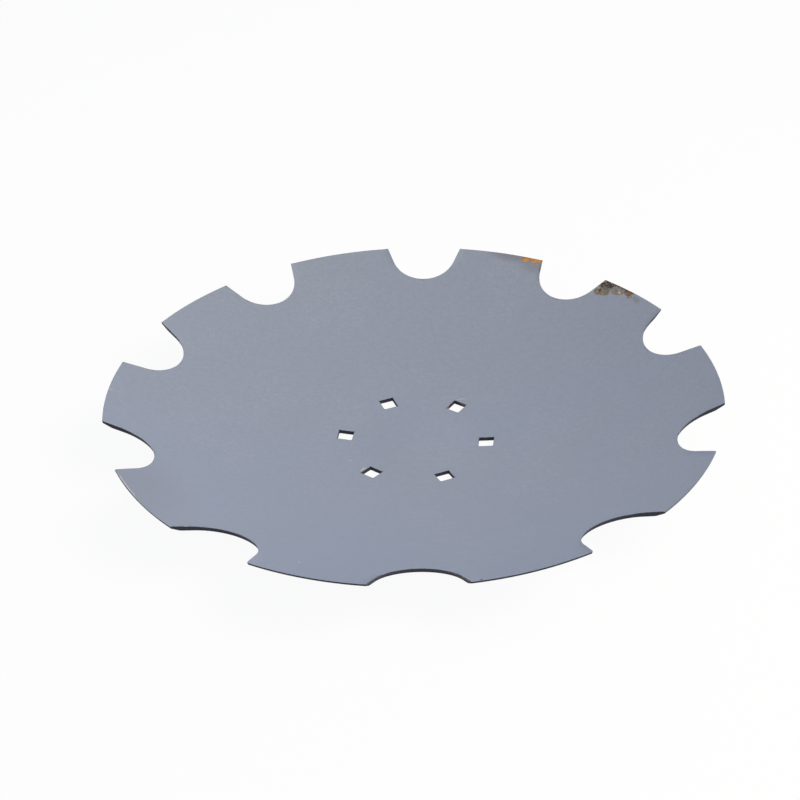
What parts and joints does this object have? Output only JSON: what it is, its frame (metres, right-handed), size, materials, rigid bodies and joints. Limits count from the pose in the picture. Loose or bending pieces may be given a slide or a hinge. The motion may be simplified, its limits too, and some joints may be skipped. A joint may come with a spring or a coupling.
{
  "type": "harrow disc blade",
  "caption": "Shallow dished steel disc blade with round notches in its ground rim and square bolt holes round the centre, lying hollow side up.",
  "frame": {"origin": "centre of the flat seat on the crowned side, the side that lies on the ground", "axes": "+Z along the blade's axis towards the hollow side; +Y points at the mean place of the first notch"},
  "size_m": [0.66, 0.6556, 0.0745],
  "materials": {
    "painted_steel": "satin blue-grey paint over steel, cut edges nearly black"
  },
  "bodies": {
    "root": {"disc_blade": "painted_steel"}
  },
  "joints": []
}
